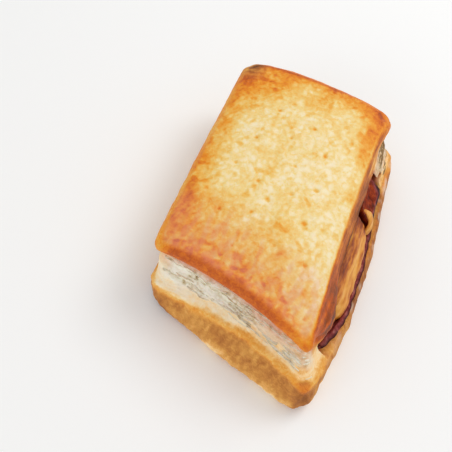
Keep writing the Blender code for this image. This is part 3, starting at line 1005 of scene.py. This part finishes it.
def ham_vertex(u, v):
    edge = ham_edge(ham_row(HAM_EDGE, (v + 1.0) / 2.0))
    y = ham_row(edge, (v + 1.0) / 2.0)
    share = (u + 1.0) / 2.0
    if share <= HAM_FLAT_SHARE:
        x = mix(POCKET_LEFT + 1.5, edge, share / HAM_FLAT_SHARE)
        y = ham_row(x, (v + 1.0) / 2.0)
        return x, y, ham_level(x, y)
    strip = ham_strip(y)
    run = (share - HAM_FLAT_SHARE) / (1.0 - HAM_FLAT_SHARE) * strip
    turn, beyond = turned(run, y)
    x = edge + HAM_TURN_RADIUS * math.sin(turn) + beyond * math.cos(turn)
    rise = HAM_TURN_RADIUS * (1.0 - math.cos(turn)) + beyond * math.sin(turn)
    ripple = smoothstep(0.0, 5.0, beyond) * 0.9 * wave(0.0, y, 70.0, 5.0)
    crinkle = 0.35 * wave(run, y, 80.0, 2.6) + 0.3 * wave(0.0, y, 90.0, 5.0)
    crinkle *= smoothstep(0.0, 2.0, run)
    return x + ripple + crinkle, y, ham_level(edge, y) + rise + 0.6 * crinkle


def lay_ham():
    slice_shape = bmesh.new()
    bmesh.ops.create_grid(
        slice_shape, x_segments=HAM_SEGMENTS[0], y_segments=HAM_SEGMENTS[1], size=1.0
    )
    for vertex in slice_shape.verts:
        vertex.co = placed(*ham_vertex(vertex.co.x, vertex.co.y))
    piece = finish_mesh("ham_slice", slice_shape)
    thickness = piece.modifiers.new("Thickness", "SOLIDIFY")
    thickness.thickness = HAM_THICKNESS * MM
    thickness.offset = 0.0
    thickness.use_even_offset = True
    dried = []
    for vertex in apply_modifiers(piece).vertices:
        x, y, z = unplaced(vertex.co)
        from_line = ham_edge(y) + ham_reach(y) - x + 0.6 * wave(0.0, y, z, 3.0)
        tail = smoothstep(-26.0, -34.0, y)
        flap = smoothstep(16.0, 20.0, y)
        dry = smoothstep(mix(1.5, 0.9, tail), 0.4, from_line)
        dry = max(dry, 0.5 * tail + 0.25 * smoothstep(-41.0, -44.5, y))
        dry = max(dry, flap * smoothstep(36.0, 40.0, y + 0.8 * (x - 34.0)))
        dried.append(clamp(dry))
    keep_values(piece.data, "dry", dried)
    return piece


# Cooked ham, dried by the oven: a dull sheen over lean meat mottled at a millimetre or two.
ham_material, ham_tree, ham_shader = new_material(
    "cooked_ham",
    {
        "Roughness": 0.55, "Specular IOR Level": 0.12,
        "Subsurface Weight": 0.04, "Subsurface Radius": (0.003, 0.001, 0.0006),
    },
)
place = add_node(ham_tree, "ShaderNodeTexCoord").outputs["Object"]
dry = add_node(ham_tree, "ShaderNodeAttribute", attribute_name="dry").outputs["Fac"]
grain = add_node(
    ham_tree, "ShaderNodeTexNoise",
    {"Vector": place, "Scale": pattern_scale(2.4), "Detail": 4.0, "Roughness": 0.6},
)
lean_colour = add_node(
    ham_tree, "ShaderNodeValToRGB", {"Fac": grain.outputs["Fac"]},
    stops=((0.30, "#501302"), (0.48, "#802604"), (0.62, "#a03a0a"), (0.82, "#c86a1c")),
)
drying = add_node(ham_tree, "ShaderNodeMapRange", {0: dry, 1: 0.0, 2: 0.5})
drying_colour = add_node(
    ham_tree, "ShaderNodeValToRGB", {"Fac": grain.outputs["Fac"]},
    stops=((0.32, "#74292a"), (0.52, "#994745"), (0.74, "#c07a72")),
)
dried = add_node(ham_tree, "ShaderNodeMapRange", {0: dry, 1: 0.5, 2: 1.0})
dried_colour = add_node(
    ham_tree, "ShaderNodeValToRGB", {"Fac": grain.outputs["Fac"]},
    stops=((0.32, "#1a0909"), (0.58, "#351213"), (0.82, "#5c2624")),
)
browned_ham = add_node(
    ham_tree, "ShaderNodeMix",
    {0: drying.outputs[0], 6: lean_colour.outputs[0], 7: drying_colour.outputs[0]},
    data_type="RGBA",
)
ham_colour = add_node(
    ham_tree, "ShaderNodeMix",
    {0: dried.outputs[0], 6: browned_ham.outputs[2], 7: dried_colour.outputs[0]},
    data_type="RGBA",
)
ham_tree.links.new(ham_colour.outputs[2], ham_shader.inputs["Base Color"])
ham_bump = add_node(
    ham_tree, "ShaderNodeBump",
    {"Height": grain.outputs["Fac"], "Strength": 0.5, "Distance": 0.4 * MM},
)
ham_tree.links.new(ham_bump.outputs["Normal"], ham_shader.inputs["Normal"])

ham_slice = lay_ham()
ham_slice.data.materials.append(ham_material)
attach(ham_slice, "root")
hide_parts("ham")

# ---------------------------------------------------------------------------------------------
# The cheese. A slab that melted over the ham, swelled into the mouth and set again: tan with
# golden and orange-brown streaks where it faced the oven, and painted shade along its top under
# the upper crust.

CHEESE_LEAN = 4.2
CHEESE_BULGE = 1.9
CHEESE_DROOP = 1.5  # it sags over the ham's edge by this
CHEESE_MARGINS = (7.0, 3.0)  # from the pocket's front and back
CHEESE_SEGMENTS = (40, 180, 26)


def cheese_vertex(u, v, w):
    y = pocket_row(HAM_EDGE, (v + 1.0) / 2.0, *CHEESE_MARGINS)
    bared = smoothstep(-44.0, -28.0, y) * (1.0 - smoothstep(15.0, 19.0, y))
    height = (w + 1.0) / 2.0
    right = mix(27.0, ham_edge(y) + 0.4, bared) - CHEESE_LEAN * height
    right += CHEESE_BULGE * bared * (1.0 - w * w)
    droop = smoothstep(-36.0, -24.0, y) * (1.0 - smoothstep(11.0, 15.0, y))
    right += CHEESE_DROOP * droop * bell(height - 0.34, 0.2)
    x = mix(POCKET_LEFT + 1.5, right, clamp((u + 1.0) / 2.0) ** 0.6)
    y = pocket_row(x, (v + 1.0) / 2.0, *CHEESE_MARGINS)
    low = ham_level(min(x, HAM_EDGE), y) + HAM_THICKNESS / 2.0 + CLEARANCE
    high = cheese_level(min(x, HAM_EDGE), y)
    z = mix(low, high, height)
    face = smoothstep(0.9, 1.0, u) * bared
    x += face * (0.45 * wave(x, y, z, 4.5) + 0.3 * wave(x, y * 0.4, z * 2.0, 3.0) - 0.3)
    return x, y, z


def melt_cheese():
    slab = grid_box(CHEESE_SEGMENTS)
    browned_and_shaded = []
    for vertex in slab.verts:
        height = (vertex.co.z + 1.0) / 2.0
        x, y, z = cheese_vertex(*vertex.co)
        # Painted shade: the slab darkens towards its top, under the upper crust's lip; the band
        # lower down is toasted cheese.
        toast_and_shade = 0.85 * smoothstep(0.72, 0.96, height) + 0.7 * bell(height - 0.38, 0.10)
        toast_and_shade += 0.8 * smoothstep(5.0, 15.0, y)
        browned_and_shaded.append(toast_and_shade + 0.3 * wave(x, y * 0.5, z, 6.0))
        vertex.co = placed(x, y, z)
    piece = finish_mesh("melted_cheese", slab)
    keep_values(piece.data, "browned_and_shaded", browned_and_shaded)
    return piece


# Melted and re-set cheese: smooth and slightly greasy, browned in soft streaks and darkened along
# its top by painted shade.
cheese_material, cheese_tree, cheese_shader = new_material(
    "browned_cheese",
    {
        "Roughness": 0.45, "Specular IOR Level": 0.3,
        "Subsurface Weight": 0.05, "Subsurface Radius": (0.003, 0.0018, 0.0008),
    },
)
place = add_node(cheese_tree, "ShaderNodeTexCoord").outputs["Object"]
drawn_out = add_node(
    cheese_tree, "ShaderNodeMapping", {"Vector": place, "Scale": (1.3, 0.28, 1.3)}
)
streaks = add_node(
    cheese_tree, "ShaderNodeTexNoise",
    {"Vector": drawn_out.outputs[0], "Scale": pattern_scale(2.6), "Detail": 4.0, "Roughness": 0.6},
)
browned_and_shaded = add_node(cheese_tree, "ShaderNodeAttribute", attribute_name="browned_and_shaded").outputs["Fac"]
cheese_tone = add_node(
    cheese_tree, "ShaderNodeMath",
    {0: browned_and_shaded, 1: 0.2, 2: streaks.outputs["Fac"]}, operation="MULTIPLY_ADD",
)
cheese_colour = add_node(
    cheese_tree, "ShaderNodeValToRGB", {"Fac": cheese_tone.outputs[0]},
    stops=(
        (0.34, "#eeb45c"),
        (0.52, "#de9538"),
        (0.64, "#c87222"),
        (0.76, "#98430e"),
        (0.94, "#57220c"),
    ),
)
cheese_tree.links.new(cheese_colour.outputs[0], cheese_shader.inputs["Base Color"])
cheese_bump = add_node(
    cheese_tree, "ShaderNodeBump",
    {"Height": streaks.outputs["Fac"], "Strength": 0.5, "Distance": 0.5 * MM},
)
cheese_tree.links.new(cheese_bump.outputs["Normal"], cheese_shader.inputs["Normal"])

melted_cheese = melt_cheese()
melted_cheese.data.materials.append(cheese_material)
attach(melted_cheese, "root")
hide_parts("cheese")

# ---------------------------------------------------------------------------------------------
# The strand at the pinch. Between the ham's tall flap and the cheese, a little melted cheese
# ran out under the upper crust, folded over the ham and set with a browned skin.

STRAND_PATH = (
    (32.4, 20.6, 26.2),
    (34.8, 20.2, 25.2),
    (36.6, 19.2, 23.6),
    (37.5, 17.4, 21.6),
    (37.3, 15.2, 19.8),
    (36.4, 13.2, 18.8),
)
STRAND_WIDTH = 2.2
STRAND_THICKNESS = 0.9
STRAND_SEGMENTS = (20, 48)


def strand_point(share):
    return Vector(station(STRAND_PATH, share))


def fold_strand():
    strand = bmesh.new()
    bmesh.ops.create_uvsphere(
        strand, u_segments=STRAND_SEGMENTS[0], v_segments=STRAND_SEGMENTS[1], radius=1.0
    )
    for vertex in strand.verts:
        x, y, z = vertex.co
        share = math.acos(clamp(z, -1.0, 1.0)) / math.pi
        middle = strand_point(share)
        ahead = strand_point(min(share + 0.02, 1.0)) - strand_point(max(share - 0.02, 0.0))
        across = ahead.cross(Vector((1.0, 0.2, 1.0))).normalized()
        outwards = across.cross(ahead).normalized()
        around = math.hypot(x, y)
        fullness = around**-0.5 if around > 1e-6 else 0.0
        lumps = 1.0 + 0.35 * wave(middle.x, middle.y, middle.z, 2.6)
        width = x * fullness * STRAND_WIDTH * lumps
        depth = y * fullness * STRAND_THICKNESS * lumps
        vertex.co = placed(*(middle + across * width + outwards * depth))
    return finish_mesh("pinch_strand", strand)


pinch_strand = fold_strand()
pinch_strand.data.materials.append(cheese_material)
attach(pinch_strand, "root")

# ---------------------------------------------------------------------------------------------
# The studio: a plain white worktop, a soft box above the back right, a wider one low in front,
# and a camera that looks down on the turnover from its front.

FLOOR_SIZE = 4.0
floor_shape = bmesh.new()
bmesh.ops.create_grid(floor_shape, x_segments=1, y_segments=1, size=FLOOR_SIZE / 2.0)
floor = finish_mesh("worktop", floor_shape)
floor_material, _, _ = new_material(
    "matt_white_laminate",
    {"Base Color": linear("#fbfbfa"), "Roughness": 0.9, "Specular IOR Level": 0.1},
)
floor.data.materials.append(floor_material)

CAMERA_PLACE = (0.012233, -0.158686, 0.281458)
CAMERA_RIGHT = (0.927382, 0.363899, 0.086824)
CAMERA_UP = (-0.357488, 0.793561, 0.492404)
CAMERA_BACK = (0.110285, -0.487685, 0.866025)
SENSOR_WIDTH = 36.0
FOCAL_PIXELS = 700.0
IMAGE_PIXELS = 452.0
camera = bpy.data.objects.new("camera", bpy.data.cameras.new("camera"))
camera.data.sensor_width = SENSOR_WIDTH
camera.data.lens = SENSOR_WIDTH * FOCAL_PIXELS / IMAGE_PIXELS
camera.data.clip_start = 0.01
camera.matrix_world = Matrix.Translation(CAMERA_PLACE) @ Matrix(
    (CAMERA_RIGHT, CAMERA_UP, CAMERA_BACK)
).transposed().to_4x4()
bpy.context.scene.collection.objects.link(camera)
bpy.context.scene.camera = camera


LIGHT_TARGET = (0.0, 0.0, 0.02)  # the middle of the turnover


def soft_box(name, place, size, power):
    lamp = bpy.data.lights.new(name, "AREA")
    lamp.shape = "SQUARE"
    lamp.size = size
    lamp.energy = power
    light = bpy.data.objects.new(name, lamp)
    light.location = place
    aim = Vector(LIGHT_TARGET) - Vector(place)
    light.rotation_euler = aim.to_track_quat("-Z", "Y").to_euler()
    bpy.context.scene.collection.objects.link(light)


soft_box("key_soft_box", place=(0.35, 0.45, 0.75), size=0.5, power=3.1)
soft_box("fill_soft_box", place=(-0.35, -0.9, 0.32), size=0.8, power=2.1)

world = bpy.data.worlds.new("studio_air")
bpy.context.scene.world = world
world.use_nodes = True
background = world.node_tree.nodes["Background"]
background.inputs["Color"].default_value = linear("#ffffff")
background.inputs["Strength"].default_value = 0.66
bpy.context.scene.view_settings.view_transform = "Standard"
